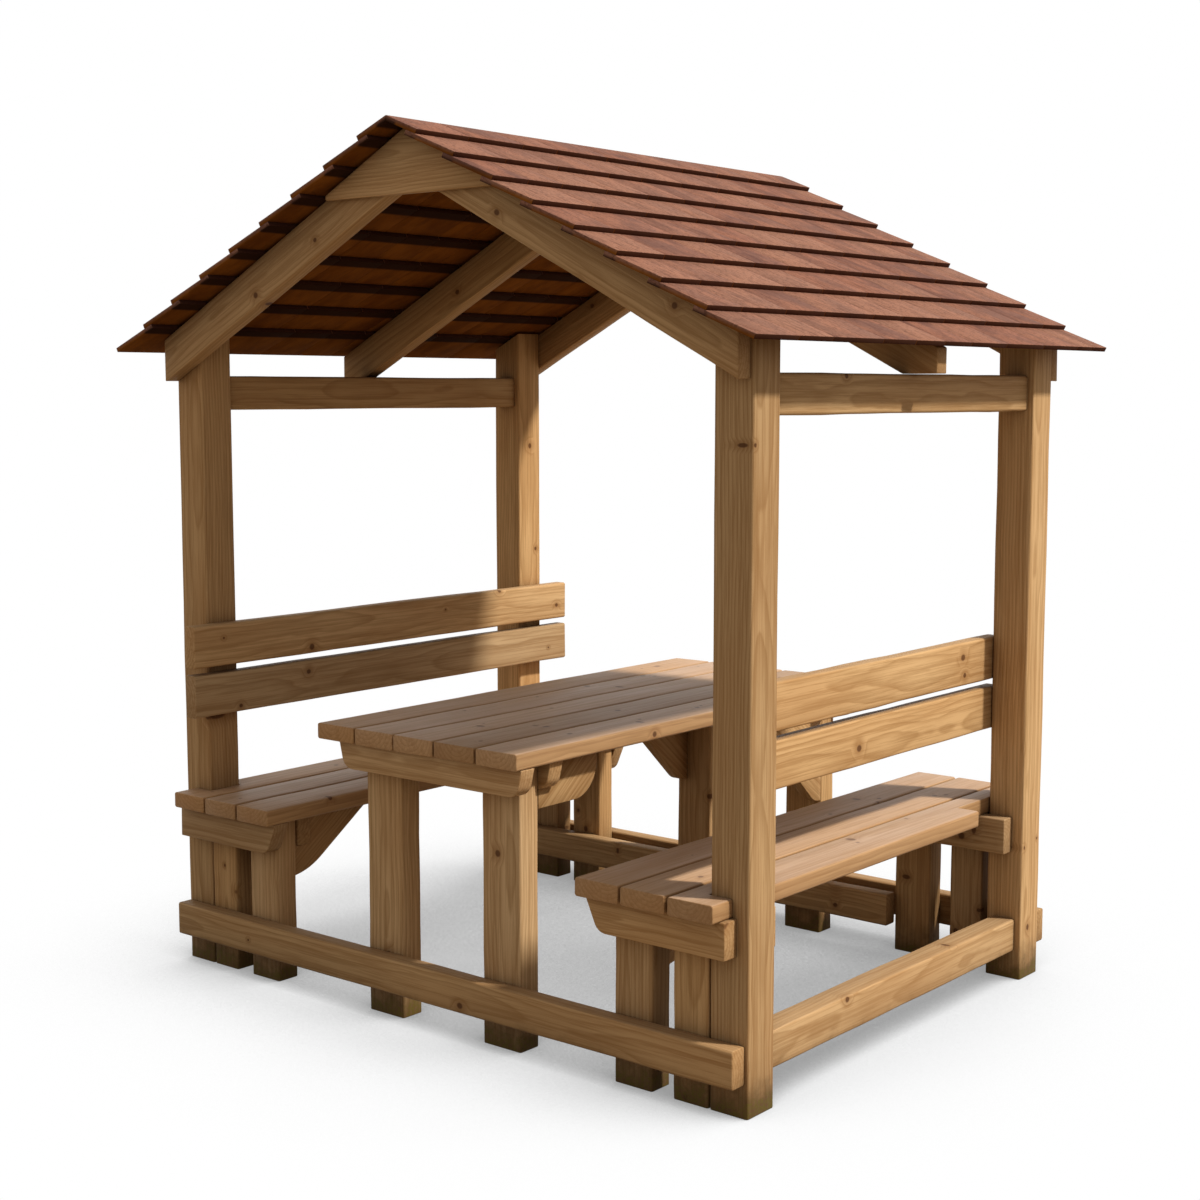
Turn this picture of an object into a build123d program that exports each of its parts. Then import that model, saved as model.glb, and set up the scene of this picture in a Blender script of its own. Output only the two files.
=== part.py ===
from build123d import *
from math import cos, radians, tan
import os

# Garden gazebo: four posts carry a gable roof of lapped boards over a built-in
# picnic table and two benches with backrests.
# Millimetres. X runs across the gable front, Y runs back along the ridge, Z is up.
# The origin is on the ground in the middle of the frame.

# Frame
frame_width = 1850.0          # over the outer faces of the posts
frame_depth = 1340.0          # over the front and back faces of the posts
post_section = 100.0
arris = 4.0                   # eased long edges of the sawn timber

# Top rails, let in between the posts along both sides; the roof stands on them
top_rail_height = 1575.0      # upper face
top_rail_depth = 90.0
side_rail_thickness = 66.0
side_rail_setback = 17.0      # behind the outer faces of the posts

# Foot rails
foot_rail_lift = 75.0         # under the rails
foot_rail_depth = 87.0
board_thickness = 46.0        # foot rails across the ends, and the bearers
foot_rail_end_inset = 8.0

# Rafters and gable gussets
roof_pitch = 27.0
rafter_depth = 95.0           # square to the slope
rafter_thickness = 45.0
rafter_seat_depth = 10.0      # cut out of the middle rafters at the outer face of the top rail
rafter_end_inset = 8.0        # end rafters stop inside the outer faces of the posts
rafter_tail = 72.0            # middle rafters run this far past the top rails
gusset_thickness = 20.0
gusset_half_width = 270.0
gusset_toe = 12.0             # plumb edge at each end of the gusset

# Roof boards
course_count = 9
eave_overhang = 78.0          # past the outer faces of the posts
ridge_course_width = 85.0     # level width of the course beside the ridge
roof_board_thickness = 12.0
course_lap = 31.0             # along the slope
verge_overhang = 80.0         # past the outer faces of the end rafters

# Benches
seat_height = 475.0
seat_plank_thickness = 42.0
seat_plank_width = 120.0
seat_plank_gap = 7.0
seat_planks = 3
seat_setback = 40.0           # outer edge, inside the outer faces of the posts
bench_overhang = 75.0         # planks past the post faces
post_notch_play = 2.0         # between a post and the notch round it
back_notch_reach = 165.0      # the notch at a back post starts this far in front of it
leg_depth = 66.0              # all legs, front to back
post_leg_width = 95.0
aisle_leg_width = 107.0
post_leg_gap = 3.0            # between a front post and the leg beside it
bench_leg_gap = 57.0          # between the two legs of the front end
back_post_leg_gap = 33.0      # between a back post and the leg beside it
back_leg_gap = 62.0           # between the two legs of the back end
bench_bearer_depth = 83.0
inner_bench_bearer_depth = 94.0
bench_bearer_inset = 30.0     # outer end, inside the outer faces of the posts
bench_nose_lean = 36.0        # how far a bearer's aisle end leans back to its lower corner
bearer_round = 34.0           # radius of that corner, also on the table's bearers
nose_inset = 4.0              # bearer nose behind the plank edge above it
knee_thickness = 36.0
bench_knee_setback = 40.0     # behind the aisle face of its leg
bench_knee_reach = 320.0
bench_knee_drop = 175.0
bench_knee_foot = 70.0        # level foot of the brace beside its leg
bench_knee_round = 200.0      # radius between that foot and the slope
bench_knee_cover = 6.0        # inner bearer past the brace that it crosses

# Backrests
backrest_thickness = 40.0
backrest_board_depth = 112.0
backrest_gap = 18.0
left_backrest_lift = 207.0    # lower board above the seat
left_backrest_overhang = 75.0  # past the post faces
right_backrest_lift = 183.0
right_backrest_inset = 58.0   # the boards end on the posts, this far inside their faces

# Table
table_height = 723.0
table_plank_thickness = 40.0
table_plank_width = 128.0
table_plank_gap = 5.0
table_planks = 5
table_overhang = 63.0         # past the front and back faces of the posts
table_leg_width = 119.0
table_leg_spacing = 386.0     # between the middles of the two legs of one end
table_frame_offset = 30.0     # legs and bearers stand this far right of the middle of the top
table_bearer_depth = 67.0
table_bearer_inset = 30.0     # bearer shorter than the top at each end, before the offset
table_nose_lean = 16.0
inner_bearer_inset = 40.0
corbel_reach = 212.0
corbel_drop = 113.0
corbel_round = 82.0
table_knee_reach = 357.0
table_knee_drop = 298.0
table_knee_foot = 30.0
table_knee_round = 60.0

# Places worked out from the sizes above
post_out_x = frame_width / 2
post_in_x = post_out_x - post_section
post_out_y = frame_depth / 2
post_in_y = post_out_y - post_section
board_out_y = post_out_y + board_thickness
leg_in_y = post_out_y - leg_depth
slope = tan(radians(roof_pitch))
rafter_plumb = rafter_depth / cos(radians(roof_pitch))
rail_out_x = post_out_x - side_rail_setback
rail_in_x = rail_out_x - side_rail_thickness
ridge_height = top_rail_height - rafter_seat_depth + rafter_plumb + slope * rail_out_x
seat_under = seat_height - seat_plank_thickness
table_under = table_height - table_plank_thickness
bench_end_y = post_out_y + bench_overhang


def rafter_line(x):
    """Height of the upper edge of the rafters, x from the middle; they meet at ridge_height."""
    return ridge_height - slope * abs(x)


def timber(x0, x1, y0, y1, z0, z1, along):
    """A sawn timber between six planes, its four long edges eased."""
    size = (x1 - x0, y1 - y0, z1 - z0)
    solid = Pos((x0 + x1) / 2, (y0 + y1) / 2, (z0 + z1) / 2) * Box(*size)
    return chamfer(solid.edges().filter_by(along), arris)


def sawn(outline, direction, thickness):
    """A board sawn to an outline, a list of edges that close on each other."""
    face = make_face(outline)
    return extrude(face, amount=thickness, dir=direction)


def across(points, y0, y1):
    """A board standing across the frame, outline points are (x, z)."""
    outline = Polyline([(x, y0, z) for x, z in points], close=True)
    return sawn(outline.edges(), (0, 1, 0), y1 - y0)


def flip_x(part):
    return mirror(part, about=Plane.YZ)


def flip_y(part):
    return mirror(part, about=Plane.XZ)


os.makedirs("parts", exist_ok=True)


def save(name, *solids):
    """One node: pieces in it never touch each other."""
    whole = solids[0] if len(solids) == 1 else Compound(children=list(solids))
    whole.label = name
    export_step(whole, f"parts/{name}.step")


# Posts: their tops are cut to the slope of the roof

def post():
    block = timber(post_in_x, post_out_x, -post_out_y, -post_in_y, 0, ridge_height, Axis.Z)
    above_roof = across(
        [
            (post_in_x - arris, rafter_line(post_in_x - arris)),
            (post_out_x + arris, rafter_line(post_out_x + arris)),
            (post_out_x + arris, ridge_height + arris),
            (post_in_x - arris, ridge_height + arris),
        ],
        -post_out_y - arris,
        -post_in_y + arris,
    )
    return block - above_roof


front_right_post = post()
save("post_front_right", front_right_post)
save("post_front_left", flip_x(front_right_post))
save("post_back_right", flip_y(front_right_post))
save("post_back_left", flip_x(flip_y(front_right_post)))


# Side rails between the posts

def side_rail(z0, z1):
    return timber(rail_in_x, rail_out_x, -post_in_y, post_in_y, z0, z1, Axis.Y)


top_rail = side_rail(top_rail_height - top_rail_depth, top_rail_height)
save("top_rail_right", top_rail)
save("top_rail_left", flip_x(top_rail))
foot_rail_top = foot_rail_lift + foot_rail_depth
save("foot_rail_side", side_rail(foot_rail_lift, foot_rail_top))


# Foot rails across the ends

def foot_rail(x0, x1, y0, y1):
    return timber(x0, x1, y0, y1, foot_rail_lift, foot_rail_top, Axis.X)


foot_rail_end_x = post_out_x - foot_rail_end_inset
outer_foot_rail = foot_rail(-foot_rail_end_x, foot_rail_end_x, -board_out_y, -post_out_y)
save("foot_rail_front", outer_foot_rail)
save("foot_rail_back", flip_y(outer_foot_rail))


# Rafters: plumb cuts at the ridge and the tail, the middle pair has a level
# seat cut where it bears on the top rail

def rafter(end_x, y0, y1, seat_z):
    foot_z = rafter_line(end_x) - rafter_plumb
    outline = [
        (0, ridge_height),
        (end_x, rafter_line(end_x)),
    ]
    if seat_z > foot_z:
        seat_x = (ridge_height - rafter_plumb - seat_z) / slope
        outline += [(end_x, seat_z), (seat_x, seat_z)]
    else:
        outline += [(end_x, foot_z)]
    outline += [(0, ridge_height - rafter_plumb)]
    return across(outline, y0, y1)


end_rafter_x = post_out_x - rafter_end_inset
front_rafter = rafter(end_rafter_x, -post_out_y - rafter_thickness, -post_out_y, 0)
middle_rafter = rafter(
    rail_out_x + rafter_tail, -rafter_thickness / 2, rafter_thickness / 2, top_rail_height
)
for place, right_rafter in (
    ("front", front_rafter),
    ("middle", middle_rafter),
    ("back", flip_y(front_rafter)),
):
    save(f"rafter_{place}_right", right_rafter)
    save(f"rafter_{place}_left", flip_x(right_rafter))


# Gussets: a triangular board over the head of each end pair of rafters

gusset_foot_z = rafter_line(gusset_half_width) - gusset_toe
gusset_in_y = -post_out_y - rafter_thickness
gusset = across(
    [
        (0, ridge_height),
        (gusset_half_width, rafter_line(gusset_half_width)),
        (gusset_half_width, gusset_foot_z),
        (-gusset_half_width, gusset_foot_z),
        (-gusset_half_width, rafter_line(gusset_half_width)),
    ],
    gusset_in_y - gusset_thickness,
    gusset_in_y,
)
save("gusset_front", gusset)
save("gusset_back", flip_y(gusset))


# Roof boards: each course lies with its head on the rafters and its butt on
# the course below, so every board tilts by one thickness in one exposure

roof_half_width = post_out_x + eave_overhang
exposure_level = (roof_half_width - ridge_course_width) / (course_count - 1)
exposure = exposure_level / cos(radians(roof_pitch))
board_tilt = roof_board_thickness / exposure
roof_end_y = post_out_y + rafter_thickness + verge_overhang
slope_frame = Plane(
    origin=(0, 0, ridge_height),
    x_dir=(cos(radians(roof_pitch)), 0, -slope * cos(radians(roof_pitch))),
    z_dir=(0, -1, 0),
)


def roof_board(course):
    """One course of the right slope, the first is the one at the ridge."""
    butt = (ridge_course_width + (course - 1) * exposure_level) / cos(radians(roof_pitch))
    head = butt - exposure - course_lap
    lift = board_tilt * (butt - head)
    corners = [
        (head, 0),
        (butt, lift),
        (butt, lift + roof_board_thickness),
        (head, roof_board_thickness),
    ]
    points = [slope_frame.from_local_coords((s, h, 0)) for s, h in corners]
    outline = Polyline([(p.X, -roof_end_y, p.Z) for p in points], close=True)
    board = sawn(outline.edges(), (0, 1, 0), 2 * roof_end_y)
    if head > 0:
        return board
    beyond_ridge = Pos(-roof_half_width / 2, 0, ridge_height) * Box(
        roof_half_width, 4 * roof_end_y, ridge_height
    )
    return board - beyond_ridge


ridge_board = roof_board(1)
save("roof_ridge_course_right", ridge_board)
save("roof_ridge_course_left", flip_x(ridge_board))
for course in range(2, course_count + 1):
    right_board = roof_board(course)
    save(f"roof_course_{course}", right_board, flip_x(right_board))


# Benches: the outer plank is notched round the posts

seat_out_x = post_out_x - seat_setback
seat_pitch = seat_plank_width + seat_plank_gap
seat_in_x = seat_out_x - seat_planks * seat_pitch + seat_plank_gap


back_notch = Box(
    post_section,
    back_notch_reach,
    4 * seat_plank_thickness,
    align=(Align.MIN, Align.MIN, Align.CENTER),
)


def seat_plank(number):
    """Planks counted from the aisle, cut round the posts where they meet them."""
    x0 = seat_in_x + number * seat_pitch
    x1 = x0 + seat_plank_width
    plank = timber(x0, x1, -bench_end_y, bench_end_y, seat_under, seat_height, Axis.Y)
    notch_x = post_in_x - post_notch_play
    if x1 <= notch_x:
        return plank
    notch = Box(
        post_section + 2 * post_notch_play,
        post_section + 2 * post_notch_play,
        4 * seat_plank_thickness,
        align=(Align.MIN, Align.MIN, Align.CENTER),
    )
    for y0 in (-post_out_y - post_notch_play, post_in_y - post_notch_play):
        plank -= Pos(notch_x, y0, seat_height) * notch
    return plank - Pos(notch_x, post_in_y - back_notch_reach, seat_height) * back_notch


post_leg_x = post_in_x - post_leg_gap - post_leg_width
aisle_leg_x = post_leg_x - bench_leg_gap - aisle_leg_width
back_post_leg_x = post_in_x - back_post_leg_gap - post_leg_width
back_aisle_leg_x = back_post_leg_x - back_leg_gap - aisle_leg_width


def leg(x0, width, top):
    return timber(x0, x0 + width, -post_out_y, -leg_in_y, 0, top, Axis.Z)


def bench_legs():
    front = [
        leg(aisle_leg_x, aisle_leg_width, seat_under),
        leg(post_leg_x, post_leg_width, seat_under),
    ]
    back = [
        leg(back_aisle_leg_x, aisle_leg_width, seat_under),
        leg(back_post_leg_x, post_leg_width, seat_under),
    ]
    return front + [flip_y(piece) for piece in back]


# The inner foot rail ties the back legs from the left post to the right bench
save(
    "foot_rail_back_inner",
    foot_rail(-post_in_x, back_aisle_leg_x, leg_in_y - board_thickness, leg_in_y),
)


bench_knee_x = aisle_leg_x + bench_knee_setback
bench_bearer_z = seat_under - bench_bearer_depth
bench_bearer_x = post_out_x - bench_bearer_inset
nose_x = seat_in_x + nose_inset


def outer_bench_bearer():
    """Across the outer faces of the post and legs, with a shaped nose at the aisle."""
    outline = [
        (nose_x, seat_under),
        (bench_bearer_x, seat_under),
        (bench_bearer_x, bench_bearer_z),
        (nose_x + bench_nose_lean, bench_bearer_z),
    ]
    board = across(outline, -board_out_y, -post_out_y)
    lower_corners = board.edges().filter_by(Axis.Y).group_by(Axis.Z)[0]
    return fillet(lower_corners.sort_by(Axis.X)[0], bearer_round)


def inner_bench_bearer():
    """Across the inner face of the post, crossing the knee brace."""
    return timber(
        bench_knee_x - bench_knee_cover,
        bench_bearer_x,
        -post_in_y,
        -post_in_y + board_thickness,
        seat_under - inner_bench_bearer_depth,
        seat_under,
        Axis.X,
    )


def brace(x0, outline, radius):
    """A board standing along the frame, points are (y, z), its lower corner off the leg rounded."""
    edges = Polyline([(x0, y, z) for y, z in outline], close=True).edges()
    board = sawn(edges, (1, 0, 0), knee_thickness)
    lower_corners = board.edges().filter_by(Axis.X).group_by(Axis.Z)[0]
    return fillet(lower_corners.sort_by(Axis.Y)[-1], radius)


def knee(x0, top, reach, drop, foot, radius):
    """Knee brace behind a front leg, sloping up from a short foot to the timber above."""
    y0 = -leg_in_y
    z0 = top - drop
    outline = [(y0, top), (y0, z0), (y0 + foot, z0), (y0 + reach, top)]
    return brace(x0, outline, radius)


def bench_knee():
    """The bench's brace, housed over the inner bearer that crosses it."""
    board = knee(
        bench_knee_x,
        seat_under,
        bench_knee_reach,
        bench_knee_drop,
        bench_knee_foot,
        bench_knee_round,
    )
    return board - inner_bench_bearer()


front_bearers = [outer_bench_bearer(), inner_bench_bearer()]
bench_pieces = {
    "seat": [seat_plank(number) for number in range(seat_planks)],
    "bench_legs": bench_legs(),
    "bench_bearers": front_bearers + [flip_y(piece) for piece in front_bearers],
    "bench_knee": [bench_knee()],
}
for name, pieces in bench_pieces.items():
    save(f"{name}_right", *pieces)
    save(f"{name}_left", *[flip_x(piece) for piece in pieces])


# Backrests: two boards on the inner faces of the posts. The left one runs past
# the posts, the right one is lower and ends on them

def backrest(lift, end_y):
    x0 = post_in_x - backrest_thickness
    boards = []
    for number in range(2):
        z0 = seat_height + lift + number * (backrest_board_depth + backrest_gap)
        z1 = z0 + backrest_board_depth
        boards.append(timber(x0, post_in_x, -end_y, end_y, z0, z1, Axis.Y))
    return boards


left_boards = backrest(left_backrest_lift, post_out_y + left_backrest_overhang)
save("backrest_right", *backrest(right_backrest_lift, post_out_y - right_backrest_inset))
save("backrest_left", *[flip_x(board) for board in left_boards])


# Table

table_pitch = table_plank_width + table_plank_gap
table_half = (table_planks * table_pitch - table_plank_gap) / 2
table_end_y = post_out_y + table_overhang


def table_plank(number):
    x0 = -table_half + number * table_pitch
    x1 = x0 + table_plank_width
    return timber(x0, x1, -table_end_y, table_end_y, table_under, table_height, Axis.Y)


def table_bearer(inset, y0, y1):
    """A bearer under the planks, both ends leaning in to a round lower corner."""
    half = table_half - inset
    foot = half - table_nose_lean
    z0 = table_under - table_bearer_depth
    outline = [(-half, table_under), (half, table_under), (foot, z0), (-foot, z0)]
    board = across(outline, y0, y1)
    return fillet(board.edges().filter_by(Axis.Y).group_by(Axis.Z)[0], bearer_round)


inner_bearer_y = -leg_in_y + board_thickness
front_outer_bearer = table_bearer(table_bearer_inset, -board_out_y, -post_out_y)
front_inner_bearer = table_bearer(inner_bearer_inset, -leg_in_y, inner_bearer_y)
table_leg_x = (table_leg_spacing - table_leg_width) / 2
front_table_leg = leg(table_leg_x, table_leg_width, table_under)
table_brace_x = table_leg_x + table_leg_width - knee_thickness


def corbel():
    """Rounded bracket behind a front table leg, housed over the inner bearer."""
    y0 = -leg_in_y
    y1 = y0 + corbel_reach
    z0 = table_under - corbel_drop
    outline = [(y0, table_under), (y0, z0), (y1, z0), (y1, table_under)]
    return brace(table_brace_x, outline, corbel_round) - front_inner_bearer


def table_knee():
    """Long brace at a back table leg, made at the front and flipped."""
    board = knee(
        table_brace_x,
        table_under,
        table_knee_reach,
        table_knee_drop,
        table_knee_foot,
        table_knee_round,
    )
    return flip_y(board - front_inner_bearer)


right_corbel = corbel()
right_table_knee = table_knee()
front_legs = [front_table_leg, flip_x(front_table_leg)]
save("table_top", *[table_plank(number) for number in range(table_planks)])
table_frame = {
    "table_legs": front_legs + [flip_y(piece) for piece in front_legs],
    "table_outer_bearers": [front_outer_bearer, flip_y(front_outer_bearer)],
    "table_inner_bearers": [front_inner_bearer, flip_y(front_inner_bearer)],
    "table_corbels": [right_corbel, flip_x(right_corbel)],
    "table_knees": [right_table_knee, flip_x(right_table_knee)],
}
for name, pieces in table_frame.items():
    save(name, *[Pos(table_frame_offset, 0, 0) * piece for piece in pieces])
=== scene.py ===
# %% [markdown]
# Garden gazebo with a picnic table under a gabled roof, made of oiled softwood.
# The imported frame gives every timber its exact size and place, so nothing is fitted here.
# This script dresses each timber: its edges are softened, its faces ripple a little, and each of
# its boards gets a grain of its own. The roof courses are split into single shingles.
# Every finish is made from shader nodes, so it can be changed by its named values.

# %% Frame
import random
from math import atan2, cos, degrees, radians, sin

import bmesh
import bpy
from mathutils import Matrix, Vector


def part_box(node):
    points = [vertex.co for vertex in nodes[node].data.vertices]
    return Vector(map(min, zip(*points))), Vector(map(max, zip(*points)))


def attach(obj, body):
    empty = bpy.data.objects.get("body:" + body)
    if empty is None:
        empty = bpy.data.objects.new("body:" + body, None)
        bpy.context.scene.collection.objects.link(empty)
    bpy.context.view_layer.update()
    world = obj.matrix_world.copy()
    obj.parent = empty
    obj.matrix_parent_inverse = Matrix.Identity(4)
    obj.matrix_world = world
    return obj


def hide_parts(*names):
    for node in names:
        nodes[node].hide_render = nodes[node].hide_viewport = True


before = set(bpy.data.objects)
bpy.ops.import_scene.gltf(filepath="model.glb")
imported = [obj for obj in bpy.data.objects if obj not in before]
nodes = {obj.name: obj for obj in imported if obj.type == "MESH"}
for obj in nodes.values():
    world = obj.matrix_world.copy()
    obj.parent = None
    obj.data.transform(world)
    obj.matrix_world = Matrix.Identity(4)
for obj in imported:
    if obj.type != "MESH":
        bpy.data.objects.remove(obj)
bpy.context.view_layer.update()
random.seed(7)
print("frame of", len(nodes), "nodes")


# %% [markdown]
# The camera stands where the photographer stood, at eye height before the front right post.
# It could be aimed by eye, but the edges of posts, roof and table were measured in the photograph
# and fitted to the frame's corners, which gives place, turn, dip and lens together.

# %% Camera
camera_place = Vector((3.1254, -3.8410, 1.5381))
camera_turn = radians(39.39)
camera_dip = radians(6.35)
lens_mm = 56.59
sensor_mm = 36.0


def add_camera():
    turned = (radians(90) - camera_dip, 0, camera_turn)
    bpy.ops.object.camera_add(location=camera_place, rotation=turned)
    camera = bpy.context.object
    camera.data.lens = lens_mm
    camera.data.sensor_width = sensor_mm
    bpy.context.scene.camera = camera
    print("camera lens", lens_mm, "mm, dip", round(camera_dip, 3), "rad")


add_camera()


# %% [markdown]
# A finish is a tree of nodes, and most of it is made from a few kinds of node over and over.
# They could be added one by one in the shader editor. Short helpers do the same here, so that the
# materials below read like a recipe: masks, noises and colours laid over each other.

# %% Nodes and links

def set_or_link(tree, socket, value):
    """Links another node's output to a socket, or writes a plain value on it."""
    if isinstance(value, bpy.types.NodeSocket):
        tree.links.new(value, socket)
    else:
        socket.default_value = value


def add_node(tree, kind, settings=None, **values):
    """A shader node with its settings and inputs; an underscore stands for a space."""
    node = tree.nodes.new(kind)
    for name, value in (settings or {}).items():
        setattr(node, name, value)
    for name, value in values.items():
        label = name.replace("_", " ")
        socket = next(s for s in node.inputs if s.name == label and s.enabled)
        set_or_link(tree, socket, value)
    return node


def math_node(tree, operation, *values):
    node = tree.nodes.new("ShaderNodeMath")
    node.operation = operation
    for socket, value in zip(node.inputs, values):
        set_or_link(tree, socket, value)
    return node.outputs[0]


def vector_math(tree, operation, *values):
    node = tree.nodes.new("ShaderNodeVectorMath")
    node.operation = operation
    for socket, value in zip(node.inputs, values):
        set_or_link(tree, socket, value)
    return node


# %% [markdown]
# A mask is a value from 0 to 1 that says how much of something shows at a place. It could be a
# plain comparison, but real finishes fade into each other, so it rises softly between two limits.

# %% Masks, noises and colours

def smooth_range(tree, value, low, high, to_low=0.0, to_high=1.0):
    """A mask that climbs softly while a value goes from low to high."""
    node = tree.nodes.new("ShaderNodeMapRange")
    node.interpolation_type = "SMOOTHSTEP"
    for name, number in (("Value", value), ("From Min", low), ("From Max", high)):
        set_or_link(tree, node.inputs[name], number)
    node.inputs["To Min"].default_value = to_low
    node.inputs["To Max"].default_value = to_high
    return node.outputs["Result"]


def noise(tree, vector, stretch, detail=3.0, roughness=0.55):
    """Noise with its own number of waves per metre along each axis of the vector."""
    scaled = vector_math(tree, "MULTIPLY", vector, stretch).outputs["Vector"]
    values = {"Vector": scaled, "Scale": 1.0, "Detail": detail, "Roughness": roughness}
    return add_node(tree, "ShaderNodeTexNoise", None, **values).outputs[0]


def mix_color(tree, share, first, second, blend="MIX"):
    node = tree.nodes.new("ShaderNodeMix")
    node.data_type = "RGBA"
    node.blend_type = blend
    for socket, value in zip((node.inputs[0], node.inputs[6], node.inputs[7]), (share, first, second)):
        set_or_link(tree, socket, value)
    return node.outputs[2]


def tint(tree, color, mask, share, other):
    """Lays another colour over a colour, as strongly as a mask times a share."""
    return mix_color(tree, math_node(tree, "MULTIPLY", mask, share), color, other)


# %% [markdown]
# What several finishes share is built once as a node group with named inputs and outputs, and placed
# in each material. Copying the nodes would work too, but a later change would miss some copies.

# %% Node groups
FLOAT = "NodeSocketFloat"
VECTOR = "NodeSocketVector"


def new_group(name, inputs, outputs):
    """A node group; inputs are name: (socket type, default), outputs name: socket type."""
    group = bpy.data.node_groups.new(name, "ShaderNodeTree")
    for label, (kind, default) in inputs.items():
        socket = group.interface.new_socket(label, in_out="INPUT", socket_type=kind)
        if default is not None:
            socket.default_value = default
    for label, kind in outputs.items():
        group.interface.new_socket(label, in_out="OUTPUT", socket_type=kind)
    return group, group.nodes.new("NodeGroupInput"), group.nodes.new("NodeGroupOutput")


def use_group(tree, group, **values):
    node = tree.nodes.new("ShaderNodeGroup")
    node.node_tree = group
    for name, value in values.items():
        set_or_link(tree, node.inputs[name.replace("_", " ")], value)
    return node


# %% [markdown]
# Softwood shows pale early wood with darker late wood in rings round the heart, long fibres, and
# knots where branches grew outwards. A flat stripe pattern would look the same on every face of a
# timber. Here the pattern is solid: each board carries a place inside a log, X along the grain and
# Y and Z across it, so rings, knots and end grain agree where two faces of the board meet.

# %% Knots
# Branches leave the heart about every whorl_spacing along the log, and branch_turn (in radians)
# apart around it. A knot is a little longer along the grain than across it.
whorl_spacing = 0.26
branch_turn = 0.85
branch_scatter = 0.9
knot_squash = 0.8
smallest_knot = 0.35
knot_spread = 0.8
knot_edge = (0.55, 1.05)
halo_edge = (0.6, 3.6)


def knot_masks(group, vector, radius, share, size):
    """Dark cores and the grain's halo round them, where branches cross the surface."""
    place = add_node(group, "ShaderNodeSeparateXYZ", None, Vector=vector)
    angle = math_node(group, "ARCTAN2", place.outputs["Z"], place.outputs["Y"])
    along = math_node(group, "MULTIPLY", place.outputs["X"], 1 / whorl_spacing)
    turned = math_node(group, "MULTIPLY", angle, 1 / branch_turn)
    unrolled = add_node(group, "ShaderNodeCombineXYZ", None, X=along, Y=turned).outputs[0]
    cells = add_node(
        group,
        "ShaderNodeTexVoronoi",
        {"feature": "F1", "voronoi_dimensions": "2D"},
        Vector=unrolled,
        Scale=1.0,
        Randomness=branch_scatter,
    )
    offset = vector_math(group, "SUBTRACT", unrolled, cells.outputs["Position"]).outputs["Vector"]
    apart = add_node(group, "ShaderNodeSeparateXYZ", None, Vector=offset)
    apart_x = math_node(group, "MULTIPLY", apart.outputs["X"], whorl_spacing * knot_squash)
    apart_y = math_node(group, "MULTIPLY", apart.outputs["Y"], branch_turn)
    apart_y = math_node(group, "MULTIPLY", apart_y, radius)
    apart_in_metres = add_node(group, "ShaderNodeCombineXYZ", None, X=apart_x, Y=apart_y).outputs[0]
    distance = vector_math(group, "LENGTH", apart_in_metres).outputs["Value"]
    draw = add_node(group, "ShaderNodeSeparateColor", None, Color=cells.outputs["Color"])
    chosen = math_node(group, "LESS_THAN", draw.outputs[0], share)
    knot_size = math_node(group, "MULTIPLY_ADD", draw.outputs[1], knot_spread, smallest_knot)
    knot_size = math_node(group, "MULTIPLY", knot_size, size)
    ratio = math_node(group, "DIVIDE", distance, knot_size)
    core = math_node(group, "MULTIPLY", smooth_range(group, ratio, *knot_edge, 1, 0), chosen)
    halo = math_node(group, "MULTIPLY", smooth_range(group, ratio, *halo_edge, 1, 0), chosen)
    return core, halo


# %% [markdown]
# Rings follow the distance from the heart. A perfect round would look turned on a lathe, so slow
# noise bends the whole log, quicker noise makes the rings wander, and they bulge round knots.
# The fibres are noise with few waves along the grain and very many across it.

# %% Rings and fibres
sway_waves = (1.6, 5.0, 5.0)
log_sway = 0.045
wander_waves = (7.0, 26.0, 26.0)
log_wander = 0.006
halo_bend = 0.009
late_wood_curve = 2.2
ring_break = (0.86, 1.0)
fine_waves = (7.0, 330.0, 330.0)
broad_waves = (1.6, 95.0, 95.0)
fine_share = 0.45


def ring_mask(group, vector, radius, halo, width):
    """Late wood darkens slowly towards the edge of each ring, and then breaks off."""
    sway = noise(group, vector, sway_waves, 2.0)
    wander = noise(group, vector, wander_waves, 2.0)
    grown = math_node(group, "MULTIPLY_ADD", sway, log_sway, radius)
    grown = math_node(group, "MULTIPLY_ADD", wander, log_wander, grown)
    grown = math_node(group, "MULTIPLY_ADD", halo, halo_bend, grown)
    rings = math_node(group, "FRACT", math_node(group, "DIVIDE", grown, width))
    late = math_node(group, "POWER", rings, late_wood_curve)
    edge = smooth_range(group, rings, *ring_break, 1, 0)
    return math_node(group, "MULTIPLY", late, edge)


def fibre_mask(group, vector):
    """Hair-fine streaks over broader ones, both drawn out along the grain."""
    fine = noise(group, vector, fine_waves, 4.0, 0.7)
    broad = noise(group, vector, broad_waves, 4.0, 0.65)
    broad_part = math_node(group, "MULTIPLY", broad, 1 - fine_share)
    return math_node(group, "MULTIPLY_ADD", fine, fine_share, broad_part)


# %% Softwood group
usual_ring = 0.0095
usual_knot = 0.009
usual_knot_share = 0.34


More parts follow.
